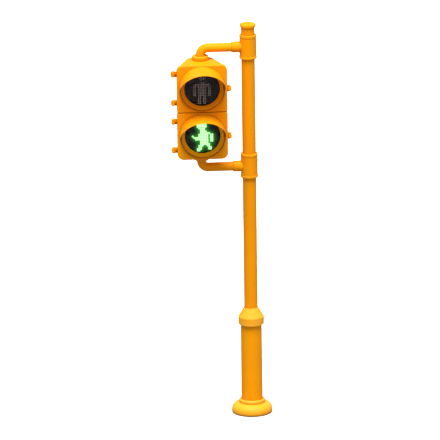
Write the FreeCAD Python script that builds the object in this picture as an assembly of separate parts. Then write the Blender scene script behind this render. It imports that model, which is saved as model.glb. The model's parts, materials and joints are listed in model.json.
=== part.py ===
import FreeCAD, Part
import math
import os

# Pedestrian traffic light: a two-section 300 mm signal head hung between two side arms on a
# stepped tubular pole. Millimetres. Origin: centre of the base plate's underside, on the
# ground. +Z is up, the signal head faces -Y, and it hangs on the -X side of the pole.

V = FreeCAD.Vector
UP = V(0, 0, 1)
LEFT = V(-1, 0, 0)
RUNNING = 0.05                      # radial clearance of a part that turns on another

# ---- pole ----
PLATE_R = 143
PLATE_T = 16
ANCHOR_PCD = 240
ANCHOR_HOLE_R = 11
ANCHOR_BOLT_R = 10
WASHER_R = 18.5
WASHER_T = 3
NUT_FLATS = 30
NUT_T = 16
COLUMN_R = 84.15                    # 168.3 mm tube
COLUMN_WALL = 5
COLUMN_TOP = 775
COVER_FOOT_R = 153
COVER_R = 161
COVER_SHOULDER_R = 104
COVER_TOP = 84
COVER_WALL = 4
BASE_RING_TOP = 113
REDUCER_R = 102
REDUCER_BOTTOM = 737
REDUCER_SHOULDER = 798
REDUCER_TOP = 873
POLE_R = 54                         # 108 mm tube
POLE_WALL = 4
POLE_BOTTOM = 600
CAP_R = 64
CAP_FLANGE = 34
CAP_SKIRT = 30                       # how far the cap goes into the pole
TOTAL_HEIGHT = 3224
POLE_TOP = TOTAL_HEIGHT - CAP_FLANGE
HANDHOLE_Z = 430
HANDHOLE_W = 76
HANDHOLE_H = 210
COVER_PLATE_W = 112
COVER_PLATE_H = 274
SHEET_T = 2                         # handhole gasket

# ---- side arms ----
HEAD_X = -379                       # vertical axis that the head hangs on
CLAMP_R = 67.3
UPPER_CLAMP = (2937, 3132)          # bottom and top of each clamp sleeve
LOWER_CLAMP = (1955, 2153)
UPPER_ARM_Z = 3031
LOWER_ARM_Z = 2047
ARM_R = 36.5                        # 73 mm tube
ARM_WALL = 4
UPPER_BEND_R = 57
LOWER_BEND_R = 50
BOSS_R = 44.45
BOSS_END = -130
ARM_SEAT_X = -82                    # how far the arm goes into its boss
WIRE_HOLE_R = 15
HUB_R = 66.5
SPIGOT_R = 24.15
SPIGOT_BORE = 18
SPIGOT_LENGTH = 27
HUB_GASKET_T = 3

# ---- signal head ----
HEAD_BOTTOM = 2161
HEAD_TOP = 2938
SECTION_GAP = 3
SECTION_H = (HEAD_TOP - HEAD_BOTTOM - SECTION_GAP) / 2
UPPER_MID = HEAD_TOP - SECTION_H / 2
LOWER_MID = HEAD_BOTTOM + SECTION_H / 2
DOOR_HALF = 201
DOOR_FACE = -177
PARTING = -137                      # plane where doors meet housings
HOUSING_HALF = 195
HOUSING_REAR = 57
HOUSING_REAR_HALF = 123
REAR_CORNER_R = 30
SHELL = 4
CORNER_R = 50                       # outer corners of the whole head
INNER_CORNER_R = 12                 # corners where the two sections meet
LIP_R = 168
LIP_FACE = DOOR_FACE - 20
LIP_BORE = 163
LENS_R = 141
LENS_T = 4
LENS_EDGE = -168
LENS_SAG = 12
SEAT_R = 158
SEAT_WALL = 4
FUNNEL_R = 172                      # where the seat's cone meets the door's front wall
SEAL_T = 2.5
VISOR_SCREW_R = 174                 # circle that the visor screws and their posts lie on
VISOR_R = 183
VISOR_WALL = 3
VISOR_SIDE = 40                     # visor length at mid-height
VISOR_MID = 176                     # visor length 100 mm above mid-height
VISOR_LONG = 258                    # visor length at the top
VISOR_LOW = 10                      # height of the ring below mid-height
HINGE_X = HEAD_X - DOOR_HALF - 28
HINGE_R = 17
HINGE_PIN_R = 5
HINGE_OFFSET = 118                  # each hinge from its section's middle
KNUCKLE_H = 25
LATCH_X = HEAD_X + DOOR_HALF + 17
LATCH_DROP = 10                     # latch below its section's middle
LATCH_SHANK_R = 4
POST_LENGTH = 22                    # posts behind the door's face that hold the module
BOARD_FACE = -148
BOARD_R = 138
PASSAGE_R = 34                      # wiring hole between the two sections
COUPLING_R = 48                     # circle of the bolts that join the sections
COUPLING_HOLE_R = 4.4
LATCH_HOLE_R = 6.5
KNUCKLE_ROUND = 11
LED_PITCH = 13
LED_R = 4.4

# Lit dots of the two symbols on the LED pitch grid, seen from the front.
STANDING_FIGURE = (
    "    ###    ",
    "   #####   ",
    "   #####   ",
    "   #####   ",
    "   #####   ",
    "    ###    ",
    "           ",
    "    ###    ",
    " ######### ",
    "###########",
    "## ##### ##",
    "## ##### ##",
    "## ##### ##",
    "## ##### ##",
    "## ##### ##",
    "## ##### ##",
    "   ## ##   ",
    "   ## ##   ",
    "   ## ##   ",
    "   ## ##   ",
    "   ## ##   ",
    "   ## ##   ",
)
WALKING_FIGURE = (
    "     ##      ",
    "    ####     ",
    "   ######    ",
    "   ######    ",
    "   ######    ",
    "   ######    ",
    "    ####     ",
    "     ###     ",
    "     ####    ",
    "     ######  ",
    "    ###### ##",
    "#   ###### ##",
    " ######### ##",
    "  ######## ##",
    "     ##### ##",
    "     #####   ",
    "     ######  ",
    "    ###  ##  ",
    "    ##    ## ",
    "   ###    ###",
    "   ##      ##",
    "  ####       ",
)


# ---- general helpers ----

def cylinder(radius, start, end):
    axis = end - start
    return Part.makeCylinder(radius, axis.Length, start, axis)


def tube(outer, inner, start, end):
    return cylinder(outer, start, end).cut(cylinder(inner, start, end))


def block(low, high):
    size = V(*high) - V(*low)
    return Part.makeBox(size.x, size.y, size.z, V(*low))


def fuse(shapes):
    whole = shapes[0].multiFuse(shapes[1:])
    return whole.removeSplitter()


def rounded_wire(points, place):
    """Closed wire through (u, v) or (u, v, radius) corners; place turns u, v into a point."""
    corners = [(V(p[0], p[1], 0), p[2] if len(p) > 2 else 0) for p in points]
    stops = []
    for i, (corner, radius) in enumerate(corners):
        before = (corners[i - 1][0] - corner).normalize()
        after = (corners[(i + 1) % len(corners)][0] - corner).normalize()
        half = before.getAngle(after) / 2
        if radius == 0:
            stops.append((corner, None, corner))
            continue
        reach = radius / math.tan(half)
        middle = (before + after).normalize() * (radius / math.sin(half) - radius)
        stops.append((corner + before * reach, corner + middle, corner + after * reach))
    edges = []
    for i, (start, middle, end) in enumerate(stops):
        if middle is not None:
            arc = Part.Arc(place(start), place(middle), place(end))
            edges.append(arc.toShape())
        following = stops[(i + 1) % len(stops)][0]
        if (following - end).Length > 1e-6:
            edges.append(Part.makeLine(place(end), place(following)))
    return Part.Wire(edges)


def turned_up(profile, x=0):
    """Solid of revolution about a vertical axis from (radius, height) corners."""
    face = Part.Face(rounded_wire(profile, lambda p: V(x + p.x, 0, p.y)))
    return face.revolve(V(x, 0, 0), UP, 360)


def turned_front(profile, z):
    """Solid of revolution about the front axis of a section, from (radius, y) corners."""
    face = Part.Face(rounded_wire(profile, lambda p: V(HEAD_X + p.x, p.y, z)))
    return face.revolve(V(HEAD_X, 0, z), V(0, 1, 0), 360)


def extruded_up(profile, bottom, top):
    face = Part.Face(rounded_wire(profile, lambda p: V(p.x, p.y, bottom)))
    return face.extrude(V(0, 0, top - bottom))


def hexagon(across_flats, start, end):
    """Hexagonal prism between two points on its axis."""
    axis = end - start
    side = V(1, 0, 0) if abs(axis.x) < 1e-6 else V(0, 1, 0)
    other = axis.cross(side).normalize()
    reach = across_flats / math.sqrt(3)
    points = []
    for i in range(7):
        turn = math.radians(60 * i)
        points.append(start + side * (reach * math.cos(turn)) + other * (reach * math.sin(turn)))
    return Part.Face(Part.makePolygon(points)).extrude(axis)


def around(shape, angles, centre=V(0, 0, 0), axis=UP):
    copies = []
    for angle in angles:
        copy = shape.copy()
        copy.rotate(centre, axis, angle)
        copies.append(copy)
    return copies


def ends_rounded(shape, radius, keep):
    """Fillet the edges for which keep(edge) is true."""
    return shape.makeFillet(radius, [e for e in shape.Edges if keep(e)])


def cable(points, radius, bend):
    """Round cable through points, with its axis bent to one radius at every corner."""
    path = [V(*point) for point in points]
    solids = []
    start = path[0]
    for corner, following in zip(path[1:], path[2:]):
        before = (start - corner).normalize()
        after = (following - corner).normalize()
        half = before.getAngle(after) / 2
        reach = bend / math.tan(half)
        centre = corner + (before + after).normalize() * (bend / math.sin(half))
        bend_start = corner + before * reach
        ring = Part.Face(Part.Wire(Part.makeCircle(radius, bend_start, before)))
        solids.append(cylinder(radius, start, bend_start))
        solids.append(ring.revolve(centre, after.cross(before), 180 - math.degrees(2 * half)))
        start = corner + after * reach
    solids.append(cylinder(radius, start, path[-1]))
    return fuse(solids)


def save(name, shape):
    solids = shape if isinstance(shape, list) else [shape]
    for solid in solids:
        assert solid.isValid(), name
    whole = solids[0] if len(solids) == 1 else Part.makeCompound(solids)
    whole.exportStep(f"parts/{name}.step")


# ---- pole ----

def base_plate():
    plate = turned_up([(COLUMN_R, 0), (PLATE_R, 0), (PLATE_R, PLATE_T, 3), (COLUMN_R, PLATE_T)])
    hole = cylinder(ANCHOR_HOLE_R, V(ANCHOR_PCD / 2, 0, -1), V(ANCHOR_PCD / 2, 0, PLATE_T + 1))
    for drill in around(hole, (45, 135, 225, 315)):
        plate = plate.cut(drill)
    return plate


def anchor_washers():
    at = ANCHOR_PCD / 2
    top = PLATE_T + WASHER_T
    washer = tube(WASHER_R, ANCHOR_HOLE_R, V(at, 0, PLATE_T), V(at, 0, top))
    return around(washer, (45, 135, 225, 315))


def anchor_nuts():
    at = ANCHOR_PCD / 2
    bottom = V(at, 0, PLATE_T + WASHER_T)
    top = bottom + V(0, 0, NUT_T)
    nut = hexagon(NUT_FLATS, bottom, top).cut(cylinder(ANCHOR_BOLT_R, bottom, top))
    return around(nut, (45, 135, 225, 315))


def base_cover():
    """Bell that hides the base plate: upright foot, then a quarter-round shoulder."""
    def bell(inset, bottom):
        foot = V(COVER_FOOT_R - inset, 0, bottom)
        low = V(COVER_R - inset, 0, 12)
        turn = V(COVER_R - inset, 0, 22)
        top = V(COVER_SHOULDER_R - inset, 0, COVER_TOP - inset)
        centre = V(top.x, 0, turn.z)
        diagonal = math.sqrt(0.5)
        bulge = V(centre.x + (turn.x - centre.x) * diagonal, 0,
                  centre.z + (top.z - centre.z) * diagonal)
        floor = V(0, 0, bottom)
        peak = V(0, 0, top.z)
        edges = [Part.makeLine(floor, foot), Part.makeLine(foot, low), Part.makeLine(low, turn),
                 Part.Arc(turn, bulge, top).toShape(), Part.makeLine(top, peak),
                 Part.makeLine(peak, floor)]
        return Part.Face(Part.Wire(edges)).revolve(V(0, 0, 0), UP, 360)
    shell = bell(0, 0).cut(bell(COVER_WALL, -1))
    return shell.cut(cylinder(COLUMN_R + 0.3, V(0, 0, 0), V(0, 0, COVER_TOP + 1)))


def base_ring():
    return turned_up([(COLUMN_R + RUNNING, COVER_TOP), (102, COVER_TOP, 4), (102, 104, 5),
                      (94, BASE_RING_TOP, 5), (COLUMN_R + RUNNING, BASE_RING_TOP)])


def slot_prism(width, height, z, start, end):
    """Vertical oval slot, extruded along Y from start to end."""
    half_w = width / 2
    half_h = height / 2
    corners = [(-half_w, z - half_h, half_w - 1), (half_w, z - half_h, half_w - 1),
               (half_w, z + half_h, half_w - 1), (-half_w, z + half_h, half_w - 1)]
    face = Part.Face(rounded_wire(corners, lambda p: V(p.x, start, p.y)))
    return face.extrude(V(0, end - start, 0))


def lower_column():
    body = tube(COLUMN_R, COLUMN_R - COLUMN_WALL, V(0, 0, 0), V(0, 0, COLUMN_TOP))
    body = body.cut(slot_prism(HANDHOLE_W, HANDHOLE_H, HANDHOLE_Z, 40, 100))
    for z in handhole_screw_heights():
        body = body.cut(cylinder(3, V(0, 60, z), V(0, 100, z)))
    return body


def handhole_screw_heights():
    reach = HANDHOLE_H / 2 + 17
    return (HANDHOLE_Z - reach, HANDHOLE_Z + reach)


def handhole_sheet(inner, outer, width, height):
    """Curved plate that follows the column between two radii."""
    ring = tube(outer, inner, V(0, 0, HANDHOLE_Z - height), V(0, 0, HANDHOLE_Z + height))
    sheet = ring.common(slot_prism(width, height, HANDHOLE_Z, 20, 120))
    for z in handhole_screw_heights():
        sheet = sheet.cut(cylinder(3.2, V(0, 60, z), V(0, 120, z)))
    return sheet


def handhole_gasket():
    sheet = handhole_sheet(COLUMN_R, COLUMN_R + SHEET_T, COVER_PLATE_W - 4, COVER_PLATE_H - 4)
    return sheet.cut(slot_prism(HANDHOLE_W, HANDHOLE_H, HANDHOLE_Z, 40, 120))


def handhole_cover():
    return handhole_sheet(COLUMN_R + SHEET_T, COLUMN_R + SHEET_T + 3, COVER_PLATE_W, COVER_PLATE_H)


def handhole_screws():
    screws = []
    for z in handhole_screw_heights():
        shank = cylinder(3, V(0, 72, z), V(0, COLUMN_R + 5, z))
        head = cylinder(6.5, V(0, COLUMN_R + 5, z), V(0, COLUMN_R + 9, z))
        socket = hexagon(4, V(0, COLUMN_R + 6.5, z), V(0, COLUMN_R + 10, z))
        head = ends_rounded(head, 1.2, lambda e: e.BoundBox.YMin > COLUMN_R + 8.9)
        screws.append(fuse([shank, head]).cut(socket))
    return screws


def reducer_collar():
    """Collar that sits on the lower column and steps the pole down to the upper tube."""
    return turned_up([(COLUMN_R + RUNNING, REDUCER_BOTTOM), (REDUCER_R, REDUCER_BOTTOM, 3),
                      (REDUCER_R, REDUCER_SHOULDER, 5), (POLE_R + 2.2, REDUCER_TOP, 2),
                      (POLE_R, REDUCER_TOP), (POLE_R, COLUMN_TOP),
                      (COLUMN_R + RUNNING, COLUMN_TOP)])


def socket_screw(radius, tip, end):
    """Headless set screw with a hexagon socket in its outer end."""
    along = (end - tip).normalize()
    body = cylinder(radius, tip, end)
    return body.cut(hexagon(radius * 0.95, end - along * radius, end + along))


def cut_sockets(body, screws):
    """Bore the screw holes into a body: each hole is the screw's own outline."""
    for radius, tip, end in screws:
        body = body.cut(cylinder(radius, tip, end + (end - tip)))
    return body


def ring_of_screws(z, angles, tip, end, radius):
    screws = []
    for angle in angles:
        out = V(math.cos(math.radians(angle)), math.sin(math.radians(angle)), 0)
        screws.append((radius, out * tip + V(0, 0, z), out * end + V(0, 0, z)))
    return screws


REDUCER_SCREWS = ring_of_screws(757, (30, 90, 150), COLUMN_R, REDUCER_R - 1, 5)
CLAMP_SCREWS = (ring_of_screws(UPPER_CLAMP[0] + 40, (60, 120), POLE_R, CLAMP_R - 0.5, 5)
                + ring_of_screws(UPPER_CLAMP[1] - 50, (60, 120), POLE_R, CLAMP_R - 0.5, 5)
                + ring_of_screws(LOWER_CLAMP[0] + 40, (60, 120), POLE_R, CLAMP_R - 0.5, 5)
                + ring_of_screws(LOWER_CLAMP[1] - 50, (60, 120), POLE_R, CLAMP_R - 0.5, 5))


def centering_ring():
    inside = COLUMN_R - COLUMN_WALL
    return tube(inside, POLE_R, V(0, 0, POLE_BOTTOM + 20), V(0, 0, POLE_BOTTOM + 32))


def upper_pole():
    body = tube(POLE_R, POLE_R - POLE_WALL, V(0, 0, POLE_BOTTOM), V(0, 0, POLE_TOP))
    for z in (UPPER_ARM_Z, LOWER_ARM_Z):
        body = body.cut(cylinder(WIRE_HOLE_R, V(0, 0, z), V(-CLAMP_R, 0, z)))
    return body


def pole_cap():
    """Plug cap: a rounded flange over a skirt that fits inside the pole."""
    skirt_r = POLE_R - POLE_WALL - 2
    bore = skirt_r - 4
    foot = POLE_TOP - CAP_SKIRT
    return turned_up([(0, POLE_TOP + 14), (bore, POLE_TOP + 14, 6), (bore, foot), (skirt_r, foot),
                      (skirt_r, POLE_TOP), (POLE_R + 1.5, POLE_TOP), (CAP_R, POLE_TOP + 9, 6),
                      (CAP_R, TOTAL_HEIGHT - 8, 5), (CAP_R - 14, TOTAL_HEIGHT, 18),
                      (0, TOTAL_HEIGHT)])


def cap_seal():
    """Rubber ring between the cap's skirt and the pole's bore."""
    outer = POLE_R - POLE_WALL
    return tube(outer, outer - 2, V(0, 0, POLE_TOP - 22), V(0, 0, POLE_TOP - 14))


def terminal_rail():
    """Steel strip inside the column, behind the handhole, that the terminals clip onto."""
    strip = block((-17, -62, HANDHOLE_Z - 95), (17, -60, HANDHOLE_Z + 95))
    feet = []
    for z in (HANDHOLE_Z - 90, HANDHOLE_Z + 90):
        foot = block((-12, -82, z - 5), (12, -61, z + 5))
        feet.append(foot.common(cylinder(COLUMN_R - COLUMN_WALL, V(0, 0, 0), V(0, 0, 800))))
    return fuse([strip] + feet)


def pole_terminals():
    """Row of identical feed-through terminals on the rail."""
    terminals = []
    for i in range(8):
        z = HANDHOLE_Z - 62 + i * 14
        body = block((-24, -60, z), (24, -26, z + 12))
        body = ends_rounded(body, 2, lambda e: e.BoundBox.YMin > -26.5 and e.BoundBox.XLength > 20)
        for x in (-14, 14):
            body = body.cut(cylinder(3.2, V(x, -34, z + 6), V(x, -20, z + 6)))
        terminals.append(body)
    return terminals


def riser_cable():
    """Signal cable from the terminals up through the pole to the upper arm."""
    top = UPPER_ARM_Z - 20
    return cable([(0, -16, HANDHOLE_Z + 70), (0, 4, HANDHOLE_Z + 170), (0, 0, 1400),
                  (0, 6, 2200), (0, 2, top)], 7, 300)


# ---- side arms ----

def clamp(limits, arm_z):
    """Sleeve round the pole with a bead at each end and a boss that holds the arm."""
    bottom, top = limits
    bore = POLE_R + RUNNING
    groove = top - 24
    sleeve = turned_up([(bore, bottom), (CLAMP_R + 2.5, bottom, 6), (CLAMP_R + 2.5, bottom + 15, 6),
                        (CLAMP_R - 0.5, bottom + 21, 3), (CLAMP_R - 0.5, groove - 5),
                        (CLAMP_R - 3, groove - 2, 1),
                        (CLAMP_R - 3, groove, 1), (CLAMP_R + 1, groove + 4, 4),
                        (CLAMP_R + 1, top, 7), (bore, top)])
    boss = cylinder(BOSS_R, V(-45, 0, arm_z), V(BOSS_END, 0, arm_z))
    boss = ends_rounded(boss, 4, lambda e: e.BoundBox.XMax < BOSS_END + 0.1)
    body = sleeve.fuse(boss)
    body = body.cut(cylinder(bore, V(0, 0, bottom), V(0, 0, top)))
    body = body.cut(cylinder(ARM_R, V(ARM_SEAT_X, 0, arm_z), V(BOSS_END - 1, 0, arm_z)))
    body = body.cut(cylinder(WIRE_HOLE_R + 10, V(-40, 0, arm_z), V(ARM_SEAT_X - 1, 0, arm_z)))
    nearby = [s for s in CLAMP_SCREWS if bottom < s[1].z < top]
    return cut_sockets(body, nearby)


def arm_rod(radius, arm_z, bend_r, side, end_z):
    """Solid rod along an arm: out from the boss, round the bend, and up or down to the hub."""
    bend_x = HEAD_X + bend_r
    centre = V(bend_x, 0, arm_z + side * bend_r)
    straight = cylinder(radius, V(ARM_SEAT_X, 0, arm_z), V(bend_x, 0, arm_z))
    circle = Part.Face(Part.Wire(Part.makeCircle(radius, V(bend_x, 0, arm_z), LEFT)))
    bend = circle.revolve(centre, V(0, side, 0), 90)
    drop = cylinder(radius, V(HEAD_X, 0, centre.z), V(HEAD_X, 0, end_z))
    return straight.fuse(bend).fuse(drop)


def arm(arm_z, bend_r, side, end_z):
    rod = arm_rod(ARM_R, arm_z, bend_r, side, end_z)
    return rod.cut(arm_rod(ARM_R - ARM_WALL, arm_z, bend_r, side, end_z))


UPPER_ARM_END = HEAD_TOP + 16
LOWER_ARM_END = HEAD_BOTTOM - 24


def hub(face_z, side, height, taper):
    """Hub on the arm's end: ring, optional taper, and a hollow spigot into the head.

    face_z is the head's outer face, side is +1 above the head and -1 below it."""
    near = face_z + side * HUB_GASKET_T
    far = near + side * height
    end = far + side * taper
    spigot_end = face_z - side * SPIGOT_LENGTH
    seat = UPPER_ARM_END if side > 0 else LOWER_ARM_END
    neck = [(HUB_R, far, 7)] if taper == 0 else [(HUB_R, far, 4), (ARM_R + 7, end, 3)]
    return turned_up([(SPIGOT_BORE, spigot_end), (SPIGOT_R, spigot_end, 1.5), (SPIGOT_R, near),
                      (HUB_R, near, 3)] + neck
                     + [(ARM_R, end), (ARM_R, seat), (SPIGOT_BORE, seat)], HEAD_X)


def hub_locknuts():
    nuts = []
    for wall_z, side in ((HEAD_TOP - SHELL, -1), (HEAD_BOTTOM + SHELL, 1)):
        start = V(HEAD_X, 0, wall_z)
        end = V(HEAD_X, 0, wall_z + side * 11)
        nuts.append(hexagon(66, start, end).cut(cylinder(SPIGOT_R, start, end)))
    return nuts


def hub_gaskets():
    rings = []
    for face_z, side in ((HEAD_TOP, 1), (HEAD_BOTTOM, -1)):
        start = V(HEAD_X, 0, face_z)
        end = V(HEAD_X, 0, face_z + side * HUB_GASKET_T)
        rings.append(tube(HUB_R - 4, SPIGOT_R + 0.3, start, end))
    return rings


def arm_cable():
    """Cable from the pole's wire hole through the upper arm and down the spigot."""
    return cable([(-58, 0, UPPER_ARM_Z), (HEAD_X, 0, UPPER_ARM_Z), (HEAD_X, 0, HEAD_TOP - 22)],
                 6, UPPER_BEND_R)


# ---- signal head: housings ----

def section_outline(half, bottom, top, top_radius, bottom_radius, y):
    corners = [(HEAD_X - half, bottom, bottom_radius), (HEAD_X + half, bottom, bottom_radius),
               (HEAD_X + half, top, top_radius), (HEAD_X - half, top, top_radius)]
    return rounded_wire(corners, lambda p: V(p.x, y, p.y))


def section_limits(mid):
    return mid - SECTION_H / 2, mid + SECTION_H / 2


def section_radii(mid, inset=0):
    """Top and bottom corner radii of a section: large on the head's outer corners."""
    large = CORNER_R - inset
    small = INNER_CORNER_R - inset
    return (large, small) if mid == UPPER_MID else (small, large)


def tapered_box(mid, inset):
    """Section body that narrows towards the rear and has rounded rear corners in plan."""
    bottom, top = section_limits(mid)
    bottom += inset
    top -= inset
    top_r, bottom_r = section_radii(mid, inset)
    rear_y = HOUSING_REAR - inset
    front = section_outline(HOUSING_HALF - inset, bottom, top, top_r, bottom_r, PARTING)
    rear = section_outline(HOUSING_REAR_HALF - inset, bottom, top, top_r, bottom_r, rear_y)
    loft = Part.makeLoft([front, rear], True, True)
    front_half = HOUSING_HALF - inset
    rear_half = HOUSING_REAR_HALF - inset
    plan = extruded_up([(HEAD_X - front_half, PARTING), (HEAD_X + front_half, PARTING),
                        (HEAD_X + rear_half, rear_y, REAR_CORNER_R - inset),
                        (HEAD_X - rear_half, rear_y, REAR_CORNER_R - inset)], bottom, top)
    return loft.common(plan)


def hinge_heights(mid):
    return (mid - HINGE_OFFSET, mid + HINGE_OFFSET)


def housing_lug(z):
    """Lower knuckle of a hinge, with the web that joins it to the housing."""
    barrel = cylinder(HINGE_R, V(HINGE_X, PARTING, z - KNUCKLE_H), V(HINGE_X, PARTING, z - 0.1))
    barrel = ends_rounded(barrel, KNUCKLE_ROUND, lambda e: e.BoundBox.ZMax < z - KNUCKLE_H + 0.1)
    web = block((HINGE_X, PARTING + 0.5, z - KNUCKLE_H + 1),
                (HEAD_X - HOUSING_HALF + 2, PARTING + 13, z - 1))
    return barrel.fuse(web)


def latch_lug(mid, near, far):
    """Flat lug beside a section on the latch side, between two Y planes."""
    z = mid - LATCH_DROP
    inner = HEAD_X + HOUSING_HALF - 3
    corners = [(inner, z - 26), (LATCH_X + 14, z - 22, 12), (LATCH_X + 14, z + 22, 12),
               (inner, z + 26)]
    face = Part.Face(rounded_wire(corners, lambda p: V(p.x, near, p.y)))
    return face.extrude(V(0, far - near, 0))


def housing(mid):
    """Rear shell of one section: tapered box, hinge and latch lugs, and its openings."""
    outer = tapered_box(mid, 0)
    inner = tapered_box(mid, SHELL)
    solids = [outer]
    for z in hinge_heights(mid):
        solids.append(housing_lug(z))
    solids.append(latch_lug(mid, PARTING, PARTING + 12))
    body = fuse(solids).cut(inner)
    bottom, top = section_limits(mid)
    upper = mid == UPPER_MID
    hub_wall = (top - SHELL - 1, top + 1) if upper else (bottom - 1, bottom + SHELL + 1)
    joint_wall = (bottom - 1, bottom + SHELL + 1) if upper else (top - SHELL - 1, top + 1)
    body = body.cut(cylinder(SPIGOT_R + 0.1, V(HEAD_X, 0, hub_wall[0]), V(HEAD_X, 0, hub_wall[1])))
    body = body.cut(cylinder(PASSAGE_R, V(HEAD_X, 0, joint_wall[0]), V(HEAD_X, 0, joint_wall[1])))
    for x, y in coupling_places():
        body = body.cut(cylinder(COUPLING_HOLE_R, V(x, y, joint_wall[0]), V(x, y, joint_wall[1])))
    for z in hinge_heights(mid):
        body = body.cut(cylinder(HINGE_PIN_R, V(HINGE_X, PARTING, z - 40), V(HINGE_X, PARTING, z)))
    latch_z = mid - LATCH_DROP
    return body.cut(cylinder(LATCH_HOLE_R, V(LATCH_X, PARTING - 1, latch_z),
                             V(LATCH_X, PARTING + 13, latch_z)))


def coupling_places():
    across = COUPLING_R * 0.9
    along = COUPLING_R * 0.44
    return [(HEAD_X + sx * across, sy * along) for sy in (1, -1) for sx in (1, -1)]


def section_gasket():
    bottom = HEAD_BOTTOM + SECTION_H
    ring = tube(62, PASSAGE_R, V(HEAD_X, 0, bottom), V(HEAD_X, 0, bottom + SECTION_GAP))
    for x, y in coupling_places():
        hole = cylinder(COUPLING_HOLE_R, V(x, y, bottom - 1), V(x, y, bottom + SECTION_GAP + 1))
        ring = ring.cut(hole)
    return ring


def coupling_bolts():
    floor = HEAD_BOTTOM + SECTION_H + SECTION_GAP + SHELL
    bolts = []
    for x, y in coupling_places():
        head = hexagon(13, V(x, y, floor), V(x, y, floor + 5.5))
        shank = cylinder(4, V(x, y, floor - 25), V(x, y, floor))
        bolts.append(fuse([head, shank]))
    return bolts


def coupling_nuts():
    roof = HEAD_BOTTOM + SECTION_H - SHELL
    nuts = []
    for x, y in coupling_places():
        nut = hexagon(13, V(x, y, roof - 6.5), V(x, y, roof))
        nuts.append(nut.cut(cylinder(4, V(x, y, roof - 7), V(x, y, roof + 1))))
    return nuts


def hinge_pins():
    pins = []
    for mid in (UPPER_MID, LOWER_MID):
        for z in hinge_heights(mid):
            shank = cylinder(HINGE_PIN_R, V(HINGE_X, PARTING, z - KNUCKLE_H - 2),
                             V(HINGE_X, PARTING, z + KNUCKLE_H))
            head = cylinder(HINGE_PIN_R + 3, V(HINGE_X, PARTING, z + KNUCKLE_H),
                            V(HINGE_X, PARTING, z + KNUCKLE_H + 3))
            head = ends_rounded(head, 1.5, lambda e: e.BoundBox.ZMin > z + KNUCKLE_H + 2.9)
            pins.append(fuse([shank, head]))
    return pins


def head_terminals():
    """Terminal strip screwed to the rear wall of the upper section."""
    rear = HOUSING_REAR - SHELL
    z = UPPER_MID - 90
    strip = block((HEAD_X - 66, rear - 22, z - 16), (HEAD_X + 66, rear, z + 16))
    for i in range(11):
        x = HEAD_X - 60 + i * 12
        strip = strip.cut(cylinder(3, V(x, rear - 12, z + 6), V(x, rear - 30, z + 6)))
        strip = strip.cut(cylinder(3, V(x, rear - 12, z - 8), V(x, rear - 30, z - 8)))
    return strip


def head_wiring():
    """Cable from the top hub to the strip, and a second one on down to the lower section."""
    y = HOUSING_REAR - SHELL - 11
    z = UPPER_MID - 90
    top = cable([(HEAD_X + 12, 6, HEAD_TOP - 60), (HEAD_X + 20, 18, HEAD_TOP - 120),
                 (HEAD_X + 30, 30, z + 80), (HEAD_X + 26, y, z + 19)], 5, 40)
    low = cable([(HEAD_X - 24, y, z - 19), (HEAD_X - 18, y - 12, z - 50),
                 (HEAD_X, 6, z - 120), (HEAD_X, 2, UPPER_MID - SECTION_H / 2 - 60)], 5, 40)
    return [top, low]


# ---- signal head: doors ----

def door_prism(mid, inset, front):
    """Door outline, moved in by inset, from a front plane back to the parting plane."""
    bottom, top = section_limits(mid)
    top_r, bottom_r = section_radii(mid)
    outline = section_outline(DOOR_HALF - inset, bottom + inset, top - inset,
                              max(top_r - inset, 2), max(bottom_r - inset, 2), front)
    return Part.Face(outline).extrude(V(0, PARTING - front, 0))


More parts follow.
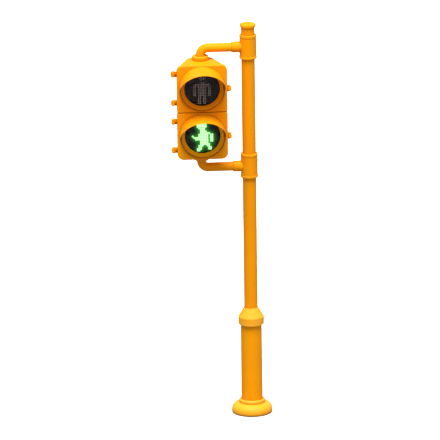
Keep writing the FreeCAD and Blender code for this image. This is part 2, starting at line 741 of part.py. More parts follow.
def door(mid):
    """Front frame of one section: shell, lens funnel, hinge knuckles and latch lug."""
    outer = door_prism(mid, 0, DOOR_FACE)
    outer = ends_rounded(outer, 9, lambda e: e.BoundBox.YMax < DOOR_FACE + 0.1)
    inner = door_prism(mid, SHELL, DOOR_FACE + 5)
    inner = ends_rounded(inner, 5, lambda e: e.BoundBox.YMax < DOOR_FACE + 5.1)
    shell = outer.cut(inner)
    centre = V(HEAD_X, 0, mid)
    seat_outer = SEAT_R + SEAT_WALL
    shell = shell.cut(cylinder(LIP_R - 3, centre + V(0, DOOR_FACE - 5, 0), centre + V(0, -150, 0)))
    funnel = turned_front([(LIP_R + 1, DOOR_FACE + 4), (LIP_R, LIP_FACE, 2.4),
                           (LIP_BORE, LIP_FACE, 2.4), (LENS_R, LENS_EDGE),
                           (seat_outer, LENS_EDGE)], mid)
    shell = shell.fuse(funnel)
    seat = turned_front([(SEAT_R, LENS_EDGE - 1), (seat_outer, LENS_EDGE - 1),
                         (FUNNEL_R, DOOR_FACE + 3), (FUNNEL_R, DOOR_FACE + 5),
                         (seat_outer, LENS_EDGE + 12), (SEAT_R, LENS_EDGE + 12)], mid)
    shell = shell.fuse(seat)
    for x, z in visor_screw_places(mid):
        post = cylinder(7, V(x, DOOR_FACE + 2, z), V(x, DOOR_FACE + POST_LENGTH, z))
        shell = shell.fuse(post)
        shell = shell.cut(cylinder(2.5, V(x, DOOR_FACE - 1, z), V(x, DOOR_FACE + 15, z)))
        shell = shell.cut(cylinder(2, V(x, DOOR_FACE + 15, z), V(x, DOOR_FACE + 23, z)))
    for z in hinge_heights(mid):
        knuckle = cylinder(HINGE_R, V(HINGE_X, PARTING, z + 0.1), V(HINGE_X, PARTING, z + KNUCKLE_H))
        knuckle = ends_rounded(knuckle, KNUCKLE_ROUND, lambda e: e.BoundBox.ZMin > z + KNUCKLE_H - 0.1)
        web = block((HINGE_X, PARTING - 13, z + 1),
                    (HEAD_X - DOOR_HALF + 2, PARTING - 0.5, z + KNUCKLE_H - 1))
        shell = shell.fuse(knuckle).fuse(web)
        shell = shell.cut(cylinder(HINGE_PIN_R + RUNNING, V(HINGE_X, PARTING, z - 1),
                                   V(HINGE_X, PARTING, z + KNUCKLE_H + 1)))
    lug = latch_lug(mid, PARTING - 15, PARTING - 2)
    shell = shell.fuse(lug.cut(inner))
    latch_z = mid - LATCH_DROP
    shell = shell.cut(cylinder(LATCH_SHANK_R + RUNNING, V(LATCH_X, PARTING - 20, latch_z),
                               V(LATCH_X, PARTING + 1, latch_z)))
    return shell.removeSplitter()


def diagonal_places(mid, radius):
    reach = radius * math.sqrt(0.5)
    return [(HEAD_X + sx * reach, mid + sz * reach) for sx in (-1, 1) for sz in (-1, 1)]


def visor_screw_places(mid):
    return diagonal_places(mid, VISOR_SCREW_R)


def door_gasket(mid):
    """Sponge strip that lies inside the door's rim, flush with the parting plane."""
    depth = 5
    outer = door_prism(mid, SHELL, PARTING - depth)
    return outer.cut(door_prism(mid, SHELL + depth, PARTING - depth))


def visor(mid):
    """Cap visor: tube round the lens, cut back from its long top to a low ring at the sides."""
    tip = DOOR_FACE - VISOR_LONG
    body = turned_front([(VISOR_R - VISOR_WALL, DOOR_FACE), (VISOR_R, DOOR_FACE),
                         (VISOR_R, tip), (VISOR_R - VISOR_WALL, tip)], mid)
    reach = VISOR_R + 20
    low = DOOR_FACE - VISOR_LOW
    side = DOOR_FACE - VISOR_SIDE
    # Side view of what is cut away, in (y, z) around the section's middle.
    start = V(HEAD_X - reach, side, mid)
    peak = V(HEAD_X - reach, tip, mid + VISOR_R)
    bend = V(HEAD_X - reach, DOOR_FACE - VISOR_MID, mid + 100)
    step = V(HEAD_X - reach, low, mid - 14)
    foot = V(HEAD_X - reach, low, mid - reach)
    far_foot = V(HEAD_X - reach, tip - 20, mid - reach)
    far_peak = V(HEAD_X - reach, tip - 20, mid + VISOR_R)
    edges = [Part.Arc(peak, bend, start).toShape(), Part.makeLine(start, step),
             Part.makeLine(step, foot), Part.makeLine(foot, far_foot),
             Part.makeLine(far_foot, far_peak), Part.makeLine(far_peak, peak)]
    waste = Part.Face(Part.Wire(edges)).extrude(V(2 * reach, 0, 0))
    body = body.cut(waste)
    for x, z in visor_screw_places(mid):
        out = V(x - HEAD_X, 0, z - mid).normalize()
        tab = cylinder(9, V(x, DOOR_FACE, z), V(x, DOOR_FACE - 2.5, z))
        tab = tab.fuse(cylinder(9, V(x, DOOR_FACE, z) + out * 5, V(x, DOOR_FACE - 2.5, z) + out * 5))
        ring = tube(VISOR_R - 1, LIP_R + 2, V(HEAD_X, DOOR_FACE, mid), V(HEAD_X, DOOR_FACE - 3, mid))
        body = body.fuse(tab.common(ring))
        body = body.cut(cylinder(2.5, V(x, DOOR_FACE + 1, z), V(x, DOOR_FACE - 4, z)))
    return body.removeSplitter()


def visor_screws(mid):
    screws = []
    for x, z in visor_screw_places(mid):
        face = DOOR_FACE - 2.5
        shank = cylinder(2.5, V(x, face, z), V(x, DOOR_FACE + 14, z))
        head = cylinder(4.6, V(x, face, z), V(x, face - 3, z))
        head = ends_rounded(head, 1.4, lambda e: e.BoundBox.YMax < face - 2.9)
        slot = block((x - 5, face - 4, z - 0.6), (x + 5, face - 1.8, z + 0.6))
        screws.append(fuse([shank, head]).cut(slot))
    return screws


def dome(mid, edge_y, radius, sag, reach):
    """Solid spherical cap of the given rim radius that bulges forward by sag."""
    ball_r = (radius ** 2 + sag ** 2) / (2 * sag)
    centre = V(HEAD_X, edge_y - sag + ball_r, mid)
    ball = Part.makeSphere(ball_r, centre)
    return ball.common(cylinder(reach, V(HEAD_X, edge_y - sag - 1, mid), V(HEAD_X, edge_y, mid)))


def lens(mid):
    """Smoked lens: a shallow dome with a flat rim that the seal clamps."""
    back = LENS_EDGE + LENS_T
    rim = cylinder(SEAT_R - SEAL_T, V(HEAD_X, LENS_EDGE, mid), V(HEAD_X, back, mid))
    body = dome(mid, LENS_EDGE, LENS_R - 1, LENS_SAG, LENS_R).fuse(rim)
    hollow = dome(mid, back, LENS_R - 3, LENS_SAG + 1, LENS_R)
    return body.cut(hollow).removeSplitter()


def lens_seal(mid):
    """Rubber channel round the lens rim, between lens, door seat and module case."""
    rim = SEAT_R - SEAL_T
    inner = LENS_R - 2
    front = LENS_EDGE + LENS_T
    back = front + 2
    return turned_front([(rim, LENS_EDGE), (SEAT_R, LENS_EDGE), (SEAT_R, back), (inner, back),
                         (inner, front), (rim, front)], mid)


def led_board(mid):
    board = cylinder(BOARD_R, V(HEAD_X, BOARD_FACE, mid), V(HEAD_X, BOARD_FACE + 2, mid))
    for x, z in diagonal_places(mid, BOARD_R - 10):
        board = board.cut(cylinder(2.2, V(x, BOARD_FACE - 1, z), V(x, BOARD_FACE + 3, z)))
    return board


def led_places(figure, mid):
    columns = len(figure[0])
    rows = len(figure)
    places = []
    for row, text in enumerate(figure):
        for column, mark in enumerate(text):
            if mark == "#":
                x = HEAD_X + (column - (columns - 1) / 2) * LED_PITCH
                z = mid + ((rows - 1) / 2 - row) * LED_PITCH - 1
                if math.hypot(x - HEAD_X, z - mid) < BOARD_R - 3:
                    places.append((x, z))
    return places


def leds(figure, mid):
    """One domed LED per lit dot of the symbol."""
    dots = []
    for x, z in led_places(figure, mid):
        stem = cylinder(LED_R, V(x, BOARD_FACE, z), V(x, BOARD_FACE - 4, z))
        crown = Part.makeSphere(LED_R, V(x, BOARD_FACE - 4, z))
        dots.append(fuse([stem, crown.common(cylinder(LED_R + 1, V(x, BOARD_FACE - 4, z),
                                                      V(x, BOARD_FACE - 10, z)))]))
    return dots


def module_case(mid):
    """Bowl behind the LED board; its flange presses the seal against the door."""
    flange = LENS_EDGE + 6
    clip_side = DOOR_FACE + POST_LENGTH
    outer = turned_front([(0, -86), (0, -80), (112, -80, 12), (148, clip_side + 4, 4),
                          (149.5, clip_side), (SEAT_R - 1, clip_side), (SEAT_R - 1, flange),
                          (141, flange), (141, BOARD_FACE + 2), (134, BOARD_FACE + 2),
                          (108, -86, 8)], mid)
    for angle in (90, 210, 330):
        reach = V(math.cos(math.radians(angle)), 0, math.sin(math.radians(angle))) * 60
        foot = V(HEAD_X, -84, mid) + reach
        outer = outer.fuse(cylinder(6, foot, V(foot.x, BOARD_FACE + 2, foot.z)))
    return outer.removeSplitter()


def module_clips(mid):
    """Spring clips, each held under a screw, that press the module case into the door."""
    half_width = 6
    sheet = V(0, 2, 0)
    clips = []
    for x, z in visor_screw_places(mid):
        inward = V(HEAD_X - x, 0, mid - z).normalize()
        base = V(x, DOOR_FACE + POST_LENGTH, z)
        pad = cylinder(half_width, base, base + sheet)
        tongue_end = base + inward * 17
        strip = cylinder(half_width, tongue_end, tongue_end + sheet)
        sides = inward.cross(V(0, 1, 0)) * half_width
        bar = Part.Face(Part.makePolygon([base + sides, tongue_end + sides, tongue_end - sides,
                                          base - sides, base + sides])).extrude(sheet)
        screw = cylinder(2, base + sheet, base - V(0, 6, 0))
        head = cylinder(4, base + sheet, base + sheet + V(0, 2.5, 0))
        clips.append(fuse([pad, strip, bar, screw, head]))
    return clips


def latch_knob(mid):
    """Captive thumbscrew: lobed grip, shank, and a collar that keeps it in the door."""
    z = mid - LATCH_DROP
    back = PARTING - 15
    grip = cylinder(15.5, V(LATCH_X, back, z), V(LATCH_X, back - 18, z))
    grip = ends_rounded(grip, 4, lambda e: e.BoundBox.YMax < back - 17.9)
    scoop = cylinder(5, V(LATCH_X + 18, back + 1, z), V(LATCH_X + 18, back - 20, z))
    for cutter in around(scoop, range(0, 360, 60), V(LATCH_X, 0, z), V(0, 1, 0)):
        grip = grip.cut(cutter)
    shank = cylinder(LATCH_SHANK_R, V(LATCH_X, back - 1, z), V(LATCH_X, PARTING + 18, z))
    collar = cylinder(6, V(LATCH_X, PARTING - 1.9, z), V(LATCH_X, PARTING - 0.4, z))
    return fuse([grip, shank, collar])


def build():
    os.makedirs("parts", exist_ok=True)
    save("base_plate", base_plate())
    save("anchor_washers", anchor_washers())
    save("anchor_nuts", anchor_nuts())
    save("base_cover", base_cover())
    save("base_ring", base_ring())
    save("lower_column", lower_column())
    save("handhole_gasket", handhole_gasket())
    save("handhole_cover", handhole_cover())
    save("handhole_screws", handhole_screws())
    save("reducer_collar", cut_sockets(reducer_collar(), REDUCER_SCREWS))
    save("reducer_screws", [socket_screw(*s) for s in REDUCER_SCREWS])
    save("centering_ring", centering_ring())
    save("upper_pole", upper_pole())
    save("pole_cap", pole_cap())
    save("cap_seal", cap_seal())
    save("terminal_rail", terminal_rail())
    save("pole_terminals", pole_terminals())
    save("riser_cable", riser_cable())
    save("upper_clamp", clamp(UPPER_CLAMP, UPPER_ARM_Z))
    save("lower_clamp", clamp(LOWER_CLAMP, LOWER_ARM_Z))
    save("clamp_screws", [socket_screw(*s) for s in CLAMP_SCREWS])
    save("upper_arm", arm(UPPER_ARM_Z, UPPER_BEND_R, -1, UPPER_ARM_END))
    save("lower_arm", arm(LOWER_ARM_Z, LOWER_BEND_R, 1, LOWER_ARM_END))
    save("upper_hub", hub(HEAD_TOP, 1, 29, 0))
    save("lower_hub", hub(HEAD_BOTTOM, -1, 40, 15))
    save("hub_locknuts", hub_locknuts())
    save("arm_cable", arm_cable())
    save("hub_gaskets", hub_gaskets())
    save("section_gasket", section_gasket())
    save("coupling_bolts", coupling_bolts())
    save("coupling_nuts", coupling_nuts())
    save("hinge_pins", hinge_pins())
    save("head_terminals", head_terminals())
    save("head_wiring", head_wiring())
    for side, mid, figure in (("upper", UPPER_MID, STANDING_FIGURE),
                              ("lower", LOWER_MID, WALKING_FIGURE)):
        save(f"{side}_housing", housing(mid))
        save(f"{side}_door", door(mid))
        save(f"{side}_door_gasket", door_gasket(mid))
        save(f"{side}_visor", visor(mid))
        save(f"{side}_visor_screws", visor_screws(mid))
        save(f"{side}_lens", lens(mid))
        save(f"{side}_lens_seal", lens_seal(mid))
        save(f"{side}_led_board", led_board(mid))
        save(f"{side}_leds", leds(figure, mid))
        save(f"{side}_module_case", module_case(mid))
        save(f"{side}_module_clips", module_clips(mid))
        save(f"{side}_latch_knob", latch_knob(mid))


build()
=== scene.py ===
import json
import math

import bmesh
import bpy
from mathutils import Matrix, Vector


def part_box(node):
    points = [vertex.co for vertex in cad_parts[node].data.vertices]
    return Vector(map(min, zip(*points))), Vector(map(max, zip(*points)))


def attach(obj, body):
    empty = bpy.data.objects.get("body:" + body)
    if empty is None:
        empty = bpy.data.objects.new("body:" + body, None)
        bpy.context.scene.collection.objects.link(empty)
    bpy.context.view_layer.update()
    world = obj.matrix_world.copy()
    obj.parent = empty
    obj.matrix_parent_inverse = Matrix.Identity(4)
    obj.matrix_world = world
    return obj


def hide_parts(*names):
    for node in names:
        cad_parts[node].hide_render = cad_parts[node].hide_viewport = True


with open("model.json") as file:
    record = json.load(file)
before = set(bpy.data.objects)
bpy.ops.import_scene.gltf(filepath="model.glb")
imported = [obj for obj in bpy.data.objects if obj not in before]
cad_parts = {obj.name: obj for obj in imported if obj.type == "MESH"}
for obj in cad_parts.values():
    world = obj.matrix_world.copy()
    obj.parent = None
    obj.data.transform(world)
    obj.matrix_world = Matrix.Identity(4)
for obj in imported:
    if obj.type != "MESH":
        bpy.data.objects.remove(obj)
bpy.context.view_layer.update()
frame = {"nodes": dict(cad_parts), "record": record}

NODES = frame["nodes"]


# ---- shader building ----

class Shader:
    """One node material around a Principled BSDF. Its methods return output sockets."""

    def __init__(self, name):
        self.material = bpy.data.materials.new(name)
        self.material.use_nodes = True
        self.tree = self.material.node_tree
        self.surface = self.tree.nodes["Principled BSDF"]
        self.place = self.node("ShaderNodeTexCoord").outputs["Object"]

    def node(self, kind, **inputs):
        made = self.tree.nodes.new(kind)
        for key, value in inputs.items():
            self.feed(made.inputs[key.replace("_", " ")], value)
        return made

    def feed(self, socket, value):
        if isinstance(value, bpy.types.NodeSocket):
            self.tree.links.new(value, socket)
        else:
            socket.default_value = value

    def set(self, **inputs):
        for key, value in inputs.items():
            self.feed(self.surface.inputs[key.replace("_", " ")], value)

    def stretched(self, x, y, z):
        mapping = self.node("ShaderNodeMapping", Vector=self.place)
        mapping.inputs["Scale"].default_value = (x, y, z)
        return mapping.outputs["Vector"]

    def noise(self, scale, detail=3.0, roughness=0.5, vector=None):
        made = self.node("ShaderNodeTexNoise", Vector=vector or self.place, Scale=scale,
                         Detail=detail, Roughness=roughness)
        return made.outputs["Fac"]

    def cells(self, scale, output="Distance", vector=None):
        made = self.node("ShaderNodeTexVoronoi", Vector=vector or self.place, Scale=scale)
        return made.outputs[output]

    def math(self, operation, a, b):
        made = self.tree.nodes.new("ShaderNodeMath")
        made.operation = operation
        self.feed(made.inputs[0], a)
        self.feed(made.inputs[1], b)
        return made.outputs[0]

    def spread(self, value, low, high, to_low=0.0, to_high=1.0):
        """Map low..high to to_low..to_high, clamped."""
        made = self.node("ShaderNodeMapRange", Value=value)
        made.inputs["From Min"].default_value = low
        made.inputs["From Max"].default_value = high
        made.inputs["To Min"].default_value = to_low
        made.inputs["To Max"].default_value = to_high
        return made.outputs["Result"]

    def blend(self, share, a, b):
        made = self.tree.nodes.new("ShaderNodeMix")
        made.data_type = "RGBA"
        self.feed(made.inputs["Factor"], share)
        self.feed(made.inputs["A"], colour(a))
        self.feed(made.inputs["B"], colour(b))
        return made.outputs["Result"]

    def bump(self, height, depth, normal=None):
        """Bump whose full height is depth metres."""
        made = self.node("ShaderNodeBump", Height=height, Distance=depth, Strength=1.0)
        if normal is not None:
            self.feed(made.inputs["Normal"], normal)
        return made.outputs["Normal"]

    def crevice(self, reach):
        """1 in the open, lower where another surface is close."""
        made = self.node("ShaderNodeAmbientOcclusion", Distance=reach)
        made.samples = 8
        return made.outputs["AO"]

    def edge(self, radius):
        """0 on flat faces, up to about 1 along convex and concave edges."""
        soft = self.tree.nodes.new("ShaderNodeBevel")
        soft.samples = 4
        soft.inputs["Radius"].default_value = radius
        true_normal = self.tree.nodes.new("ShaderNodeNewGeometry").outputs["Normal"]
        dot = self.tree.nodes.new("ShaderNodeVectorMath")
        dot.operation = "DOT_PRODUCT"
        self.feed(dot.inputs[0], soft.outputs["Normal"])
        self.feed(dot.inputs[1], true_normal)
        return self.spread(dot.outputs["Value"], 1.0, 0.8)


def colour(value):
    """Give a plain red, green, blue triple its alpha; leave sockets as they are."""
    if isinstance(value, (tuple, list)) and len(value) == 3:
        return (*value, 1.0)
    return value


# ---- materials ----

PAINT = (0.88, 0.318, 0.002)
PAINT_DEEP = (0.85, 0.280, 0.002)
HIGHLIT = (0.90, 0.400, 0.020)         # paler copy of the coat for the foot and the collar: painted highlight of their lit tops
HIGHLIT_DEEP = (0.88, 0.355, 0.014)
PAINT_WORN = (0.93, 0.40, 0.02)
# dark brown of the streaky grime and painted shade in corners
GRIME_AND_SHADE = (0.20, 0.075, 0.015)


def paint(name, grain_scale, grain_depth, roughness, fresh=PAINT, deep=PAINT_DEEP, gloss=0.05):
    """Orange-yellow powder coat: faint cloudiness, orange peel, worn edges, streaky grime and
    painted shade in corners.
    """
    s = Shader(name)
    cloud = s.noise(2.2, 4.0)
    speck = s.noise(260.0, 2.0)
    base = s.blend(s.spread(cloud, 0.35, 0.65), fresh, deep)
    base = s.blend(s.math("MULTIPLY", s.spread(speck, 0.55, 0.75), 0.10), base, PAINT_WORN)
    rub = s.math("MULTIPLY", s.edge(0.0025), s.spread(s.noise(35.0, 4.0), 0.4, 0.62))
    base = s.blend(s.math("MULTIPLY", rub, 0.35), base, PAINT_WORN)
    # Painted shade: darker where another surface is near, streaked like grime. The same mask
    # also roughens the coat.
    corner = s.math("SUBTRACT", 1.0, s.spread(s.crevice(0.018), 0.35, 0.95))
    streak = s.noise(9.0, 5.0, vector=s.stretched(6.0, 6.0, 0.5))
    grime_and_shade = s.math("MULTIPLY", corner, s.spread(streak, 0.3, 0.7, 0.25, 0.6))
    base = s.blend(grime_and_shade, base, GRIME_AND_SHADE)
    shine = s.spread(s.noise(14.0, 5.0), 0.3, 0.7, roughness - 0.05, roughness + 0.07)
    shine = s.math("ADD", shine, s.math("MULTIPLY", grime_and_shade, 0.3))
    peel = s.bump(s.noise(320.0, 2.0), 0.00006)
    grain = s.bump(s.noise(grain_scale, 4.0, 0.6), grain_depth, peel)
    s.set(Base_Color=base, Roughness=shine, Normal=grain, Specular_IOR_Level=gloss)
    return s.material


def zinc(name):
    """Zinc-plated steel with fine turning marks and a slight yellow cast."""
    s = Shader(name)
    marks = s.noise(60.0, 4.0, vector=s.stretched(1.0, 1.0, 14.0))
    tone = s.blend(s.noise(30.0, 3.0), (0.58, 0.58, 0.56), (0.46, 0.46, 0.45))
    # painted shade: darker where another surface is near
    tone = s.blend(s.spread(s.crevice(0.004), 0.3, 0.9), (0.16, 0.15, 0.13), tone)
    s.set(Base_Color=tone, Metallic=1.0, Roughness=s.spread(marks, 0.3, 0.7, 0.26, 0.46),
          Normal=s.bump(marks, 0.00005))
    return s.material


def galvanised(name):
    """Hot-dip galvanising: spangle cells, each of a slightly different grey."""
    s = Shader(name)
    spangle = s.cells(120.0, "Color")
    tint = s.node("ShaderNodeRGBToBW", Color=spangle).outputs["Val"]
    tone = s.blend(tint, (0.30, 0.31, 0.32), (0.48, 0.49, 0.50))
    stain = s.spread(s.noise(22.0, 5.0), 0.55, 0.75)
    tone = s.blend(s.math("MULTIPLY", stain, 0.6), tone, (0.55, 0.54, 0.50))
    s.set(Base_Color=tone, Metallic=0.85, Roughness=s.spread(tint, 0.2, 0.8, 0.38, 0.58),
          Normal=s.bump(s.cells(120.0), 0.0001))
    return s.material


def rubber(name):
    """Matt black rubber with a fine pore texture and pale bloom."""
    s = Shader(name)
    bloom = s.spread(s.noise(40.0, 4.0), 0.5, 0.8)
    tone = s.blend(s.math("MULTIPLY", bloom, 0.4), (0.012, 0.012, 0.013), (0.05, 0.05, 0.048))
    s.set(Base_Color=tone, Roughness=s.spread(bloom, 0.0, 1.0, 0.72, 0.9),
          Normal=s.bump(s.noise(900.0, 2.0), 0.0001))
    return s.material


def moulded(name, dark, light, grain=700.0):
    """Moulded plastic: spark-eroded grain and a little dust."""
    s = Shader(name)
    dust = s.spread(s.noise(25.0, 5.0), 0.5, 0.8)
    tone = s.blend(s.math("MULTIPLY", dust, 0.5), dark, light)
    # painted shade: darker where another surface is near
    tone = s.blend(s.spread(s.crevice(0.006), 0.3, 0.9), tuple(c * 0.4 for c in dark), tone)
    s.set(Base_Color=tone, Roughness=s.spread(dust, 0.0, 1.0, 0.45, 0.62),
          Normal=s.bump(s.cells(grain), 0.00008))
    return s.material


def smoked_glass(name):
    """Smoked lens: dark and glossy, partly see-through, with faint dust and a moulded ripple."""
    s = Shader(name)
    dust = s.spread(s.noise(60.0, 6.0), 0.45, 0.85)
    tone = s.blend(s.math("MULTIPLY", dust, 0.35), (0.010, 0.010, 0.011), (0.06, 0.06, 0.06))
    s.set(Base_Color=tone, Roughness=s.spread(dust, 0.0, 1.0, 0.16, 0.30), IOR=1.49, Alpha=0.20,
          Specular_IOR_Level=0.28, Normal=s.bump(s.noise(18.0, 2.0), 0.0004))
    return s.material


def unlit_resin(name):
    """LED body that is switched off: pale, slightly cloudy resin."""
    s = Shader(name)
    tone = s.blend(s.noise(300.0, 2.0), (0.80, 0.83, 0.86), (0.90, 0.93, 0.96))
    s.set(Base_Color=tone, Roughness=s.spread(s.noise(90.0), 0.3, 0.7, 0.12, 0.25), IOR=1.5,
          Normal=s.bump(s.noise(400.0), 0.00004))
    return s.material


LIT = (0.38, 1.0, 0.33)
LED_POWER = 3.2


def lit_resin(name):
    """LED that is switched on: pale green, a little uneven from one to the next."""
    s = Shader(name)
    uneven = s.spread(s.noise(55.0, 2.0), 0.3, 0.7, LED_POWER * 0.85, LED_POWER * 1.15)
    s.set(Base_Color=colour((0.3, 0.6, 0.3)), Roughness=0.25, Emission_Color=colour(LIT),
          Emission_Strength=uneven, Normal=s.bump(s.noise(400.0), 0.00004))
    return s.material


def lamp_board(name, power):
    """Black board with faint tracks. The attribute glow holds painted light: the board glows
    where lit LEDs would spill light on it.
    """
    s = Shader(name)
    tracks = s.cells(95.0, vector=s.stretched(1.0, 1.0, 0.35))
    line = s.spread(tracks, 0.02, 0.05)
    tone = s.blend(line, (0.020, 0.026, 0.020), (0.008, 0.009, 0.009))
    glow = s.node("ShaderNodeAttribute")
    glow.attribute_name = "glow"
    amount = glow.outputs["Fac"]
    near = s.spread(amount, 0.55, 0.95)
    light = s.blend(near, (0.035, 0.42, 0.03), LIT)
    # painted light: the board itself emits round the lit LEDs
    strength = s.math("MULTIPLY", s.math("POWER", amount, 1.15), power)
    s.set(Base_Color=tone, Roughness=s.spread(s.noise(50.0), 0.3, 0.7, 0.35, 0.5),
          Emission_Color=light, Emission_Strength=strength,
          Normal=s.bump(tracks, 0.0001))
    return s.material


def floor_paint(name):
    """Pale studio floor that reads white to the camera and throws little light back up."""
    s = Shader(name)
    tone = s.blend(s.spread(s.noise(0.6, 4.0), 0.3, 0.7), (0.93, 0.93, 0.93), (0.90, 0.90, 0.90))
    seen = s.node("ShaderNodeLightPath").outputs["Is Camera Ray"]
    s.set(Base_Color=s.blend(seen, (0.17, 0.17, 0.17), tone), Roughness=0.9,
          Normal=s.bump(s.noise(40.0), 0.0002))
    return s.material


CAST_PAINT = paint("paint_cast", 130.0, 0.00028, 0.48)
# lit copy of the paint with more gloss: painted highlight on the foot and the collar
HIGHLIT_PAINT = paint("paint_highlit", 130.0, 0.00028, 0.46, HIGHLIT, HIGHLIT_DEEP, 0.16)
MATERIALS = {
    "zinc_steel": zinc("zinc_steel"),
    "galvanised_plate": galvanised("galvanised_plate"),
    "black_rubber": rubber("black_rubber"),
    "smoked_lens": smoked_glass("smoked_lens"),
    "unlit_led": unlit_resin("unlit_led"),
    "lit_led": lit_resin("lit_led"),
    "circuit_board": lamp_board("lamp_board_unlit", 0.0),
    "black_plastic": moulded("black_plastic", (0.014, 0.014, 0.015), (0.06, 0.058, 0.054)),
    "terminal_plastic": moulded("terminal_plastic", (0.36, 0.36, 0.33), (0.5, 0.48, 0.42)),
    "cable_jacket": moulded("cable_jacket", (0.02, 0.02, 0.021), (0.07, 0.068, 0.06), 1500.0),
    "signal_paint": paint("paint_smooth", 90.0, 0.00004, 0.42),
}

# ---- which nodes get what ----

CAST_NODES = ("upper_clamp", "lower_clamp", "upper_hub", "lower_hub", "pole_cap",
              "upper_latch_knob", "lower_latch_knob")
# parts painted with the lit copy of the paint, a painted highlight
HIGHLIT_NODES = ("reducer_collar", "base_cover", "base_ring")
ROUND_NODES = ("riser_cable", "arm_cable", "head_wiring", "upper_leds", "lower_leds")
SMALL_NODES = ("anchor_nuts", "anchor_washers", "handhole_screws", "reducer_screws",
               "clamp_screws", "coupling_bolts", "coupling_nuts", "hinge_pins",
               "upper_visor_screws", "lower_visor_screws", "upper_module_clips",
               "lower_module_clips", "terminal_rail", "hub_locknuts")

# Edge roundings and weld distance, in metres.
EDGE_SMALL = 0.0003
EDGE_LARGE = 0.0009
WELD_GAP = 0.00001
EDGE_SEGMENTS = 2
EDGE_ANGLE = math.radians(35.0)      # edges sharper than this are rounded


# ---- mesh helpers ----

def mesh_object(name, vertices, faces, material, body):
    mesh = bpy.data.meshes.new(name)
    mesh.from_pydata(vertices, [], faces)
    mesh.update()
    made = bpy.data.objects.new(name, mesh)
    bpy.context.scene.collection.objects.link(made)
    made.data.materials.append(material)
    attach(made, body)
    return made


def shade(thing, width):
    """Merge split vertices, round sharp edges a little and shade smooth between them."""
    mesh = thing.data
    if "custom_normal" in mesh.attributes:
        mesh.attributes.remove(mesh.attributes["custom_normal"])
    for polygon in mesh.polygons:
        polygon.use_smooth = True
    weld = thing.modifiers.new("weld", "WELD")
    weld.merge_threshold = WELD_GAP
    if width == 0:
        return
    bevel = thing.modifiers.new("edges", "BEVEL")
    bevel.width = width
    bevel.segments = EDGE_SEGMENTS
    bevel.limit_method = "ANGLE"
    bevel.angle_limit = EDGE_ANGLE
    normals = thing.modifiers.new("normals", "WEIGHTED_NORMAL")
    normals.keep_sharp = True


def dress_frame():
    """Give every CAD node its material and softened edges."""
    slot_of = {p["node"]: p["material_slot"] for p in frame["record"]["subparts"]}
    for name, thing in NODES.items():
        material = MATERIALS[slot_of[name]]
        if name in CAST_NODES:
            material = CAST_PAINT
        if name in HIGHLIT_NODES:
            material = HIGHLIT_PAINT
        if not thing.material_slots:
            thing.data.materials.append(material)
        for holder in thing.material_slots:
            holder.material = material
        if name in ROUND_NODES:
            shade(thing, 0.0)
        elif name in SMALL_NODES:
            shade(thing, EDGE_SMALL)
        else:
            shade(thing, EDGE_LARGE)


# ---- stage, light and camera, in metres ----

VIEW_AZIMUTH = math.radians(-4.0)
VIEW_ELEVATION = math.radians(17.0)
VIEW_ROLL = math.radians(-0.73)      # the pole leans slightly in the picture
VIEW_DISTANCE = 107.2
LENS_MM = 1104.0
SENSOR_MM = 36.0
AIM_HEIGHT = 1.5985                  # height on the pole's axis that is level with the centre
AIM_LEFT = 0.238                     # the pole stands this far right of the centre
CLIP_END = 400.0
FLOOR_HALF = 60.0
FLOOR_DROP = 0.0005                  # keeps the floor clear of the foot's underside
WORLD_LIGHT = 0.56                   # what the surroundings give the object
WORLD_SEEN = 1.0                     # how bright they look to the camera


def add_stage():
    corners = [(-FLOOR_HALF, -FLOOR_HALF), (FLOOR_HALF, -FLOOR_HALF),
               (FLOOR_HALF, FLOOR_HALF), (-FLOOR_HALF, FLOOR_HALF)]
    mesh = bpy.data.meshes.new("floor")
    mesh.from_pydata([(x, y, -FLOOR_DROP) for x, y in corners], [], [(0, 1, 2, 3)])
    floor = bpy.data.objects.new("floor", mesh)
    bpy.context.scene.collection.objects.link(floor)
    mesh.materials.append(floor_paint("floor_paint"))


def add_world():
    world = bpy.data.worlds.new("studio")
    bpy.context.scene.world = world
    world.use_nodes = True
    tree = world.node_tree
    background = tree.nodes["Background"]
    background.inputs["Color"].default_value = (1.0, 1.0, 1.0, 1.0)
    path = tree.nodes.new("ShaderNodeLightPath")
    level = tree.nodes.new("ShaderNodeMapRange")
    level.inputs["To Min"].default_value = WORLD_LIGHT
    level.inputs["To Max"].default_value = WORLD_SEEN
    tree.links.new(path.outputs["Is Camera Ray"], level.inputs["Value"])
    tree.links.new(level.outputs["Result"], background.inputs["Strength"])


def add_sun(name, azimuth, elevation, strength, softness):
    """Soft directional light; azimuth 0 comes from the front, 90 from the right."""
    data = bpy.data.lights.new(name, "SUN")
    data.energy = strength
    data.angle = math.radians(softness)
    lamp = bpy.data.objects.new(name, data)
    a = math.radians(azimuth)
    e = math.radians(elevation)
    towards = Vector((math.sin(a) * math.cos(e), -math.cos(a) * math.cos(e), math.sin(e)))
    lamp.rotation_euler = towards.to_track_quat("Z", "Y").to_euler()
    bpy.context.scene.collection.objects.link(lamp)


def add_lights():
    add_sun("key", -10.0, 72.0, 5.4, 35.0)
    add_sun("fill", 25.0, 20.0, 0.25, 60.0)


def add_camera():
    a, e = VIEW_AZIMUTH, VIEW_ELEVATION
    back = Vector((math.sin(a) * math.cos(e), -math.cos(a) * math.cos(e), math.sin(e)))
    right = Vector((math.cos(a), math.sin(a), 0.0))
    aim = Vector((0.0, 0.0, AIM_HEIGHT)) - right * AIM_LEFT
    data = bpy.data.cameras.new("camera")
    data.lens = LENS_MM
    data.sensor_width = SENSOR_MM
    data.clip_end = CLIP_END
    camera = bpy.data.objects.new("camera", data)
    turn = back.to_track_quat("Z", "Y").to_matrix().to_4x4()
    roll = Matrix.Rotation(VIEW_ROLL, 4, "Z")
    camera.matrix_world = Matrix.Translation(aim + back * VIEW_DISTANCE) @ turn @ roll
    bpy.context.scene.collection.objects.link(camera)
    bpy.context.scene.camera = camera


# ---- visual pieces ----

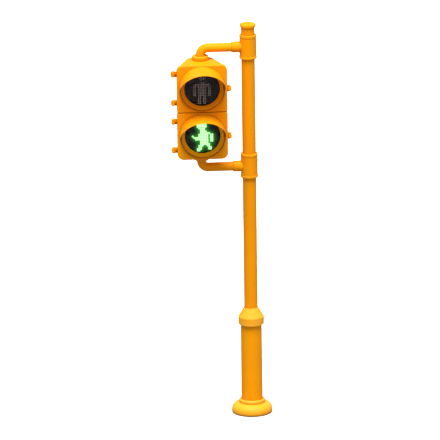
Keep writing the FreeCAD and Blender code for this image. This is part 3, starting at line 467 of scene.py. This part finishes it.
def islands(name):
    """Centres of the separate solids in one CAD node."""
    work = bmesh.new()
    work.from_mesh(NODES[name].data)
    bmesh.ops.remove_doubles(work, verts=work.verts, dist=WELD_GAP)
    seen = set()
    centres = []
    for start in work.verts:
        if start in seen:
            continue
        group = [start]
        seen.add(start)
        for vertex in group:
            for edge in vertex.link_edges:
                other = edge.other_vert(vertex)
                if other not in seen:
                    seen.add(other)
                    group.append(other)
        low = [min(v.co[i] for v in group) for i in range(3)]
        high = [max(v.co[i] for v in group) for i in range(3)]
        centres.append(Vector((low[i] + high[i]) / 2 for i in range(3)))
    work.free()
    return centres


def lathe(name, centre, profile, segments, material, body):
    """Closed ring or disc turned about the front axis through centre, from (radius, y) points.

    Points with radius 0 become a single vertex."""
    vertices = []
    rings = []
    for radius, y in profile:
        if radius == 0:
            rings.append([len(vertices)])
            vertices.append((centre.x, y, centre.z))
            continue
        rings.append(list(range(len(vertices), len(vertices) + segments)))
        for i in range(segments):
            turn = 2 * math.pi * i / segments
            vertices.append((centre.x + radius * math.cos(turn), y,
                             centre.z + radius * math.sin(turn)))
    faces = []
    loop = list(zip(rings, rings[1:]))
    if len(rings[0]) > 1 and len(rings[-1]) > 1:
        loop.append((rings[-1], rings[0]))
    for near, far in loop:
        for i in range(segments):
            j = (i + 1) % segments
            if len(near) == 1:
                faces.append((near[0], far[i], far[j]))
            elif len(far) == 1:
                faces.append((near[j], near[i], far[0]))
            else:
                faces.append((near[i], far[i], far[j], near[j]))
    made = mesh_object(name, vertices, faces, material, body)
    for polygon in made.data.polygons:
        polygon.use_smooth = True
    return made


GLOW_CORE = 0.0095                   # reach of the bright patch round one LED
GLOW_HALO = 0.024                    # reach of the faint light round it
HALO_LEVEL = 0.66                    # most that the faint light can reach
HALO_GAIN = 0.16
BOARD_RINGS = 56
BOARD_SEGMENTS = 192
BOARD_EDGE = 0.0004
BOARD_POWER = {"upper": 0.0, "lower": 3.0}


def glow_at(x, z, lights):
    """Painted spilled light at a point of the board, 1 beside a lit LED, fading out with
    distance.
    """
    core = 0.0
    halo = 0.0
    for light in lights:
        gap = (light.x - x) ** 2 + (light.z - z) ** 2
        core = max(core, math.exp(-(gap / GLOW_CORE ** 2) ** 2))
        halo += math.exp(-gap / GLOW_HALO ** 2)
    return min(1.0, max(core, HALO_LEVEL * (1 - math.exp(-HALO_GAIN * halo))))


def add_board(side):
    """Circuit board disc behind the lens, with painted spilled light stored on its front."""
    node = f"{side}_led_board"
    power = BOARD_POWER[side]
    low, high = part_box(node)
    centre = (low + high) / 2
    radius = (high.x - low.x) / 2
    profile = [(0, low.y)]
    profile += [(radius * (i + 1) / BOARD_RINGS, low.y) for i in range(BOARD_RINGS - 1)]
    profile += [(radius - BOARD_EDGE, low.y), (radius, low.y + BOARD_EDGE),
                (radius, high.y - BOARD_EDGE), (radius - BOARD_EDGE, high.y), (0, high.y)]
    name = f"{side}_lamp_board"
    board = lathe(name, centre, profile, BOARD_SEGMENTS, lamp_board(f"{side}_board", power),
                  f"{side}_door_assembly")
    glow = board.data.attributes.new("glow", "FLOAT", "POINT")
    if power > 0:
        lights = islands(f"{side}_leds")
        for i, vertex in enumerate(board.data.vertices):
            if vertex.co.y < (low.y + high.y) / 2:
                glow.data[i].value = glow_at(vertex.co.x, vertex.co.z, lights)
    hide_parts(node)


LENS_T = 0.004
LENS_SAG = 0.012                     # how far the dome stands out from the rim
LENS_RIM = 0.0155                    # width of the flat rim
LENS_FOOT = 0.001                    # short flat where the dome meets the rim
LENS_EDGE = 0.0006
LENS_STEPS = 28
LENS_SEGMENTS = 160


def add_lens(side):
    """Shallow smoked dome with a flat rim, turned finely so that its reflections are smooth."""
    node = f"{side}_lens"
    low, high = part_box(node)
    centre = (low + high) / 2
    rim = (high.x - low.x) / 2
    edge_y = high.y - LENS_T
    dome = rim - LENS_RIM
    ball = (dome ** 2 + LENS_SAG ** 2) / (2 * LENS_SAG)
    front = []
    back = []
    for i in range(LENS_STEPS + 1):
        r = dome * i / LENS_STEPS
        y = edge_y - LENS_SAG + ball - math.sqrt(ball ** 2 - r ** 2)
        front.append((r, y))
        back.append((r, y + LENS_T))
    flange = [(dome + LENS_FOOT, edge_y), (rim - LENS_EDGE, edge_y), (rim, edge_y + LENS_EDGE),
              (rim, high.y - LENS_EDGE), (rim - LENS_EDGE, high.y)]
    profile = front + flange + back[::-1]
    lens = lathe(f"{side}_signal_lens", centre, profile, LENS_SEGMENTS,
                 MATERIALS["smoked_lens"], f"{side}_door_assembly")
    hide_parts(node)


def main():
    dress_frame()
    for side in ("upper", "lower"):
        add_board(side)
        add_lens(side)
    add_stage()
    add_world()
    add_lights()
    add_camera()
    bpy.context.scene.view_settings.view_transform = "Standard"
    bpy.context.view_layer.update()


main()
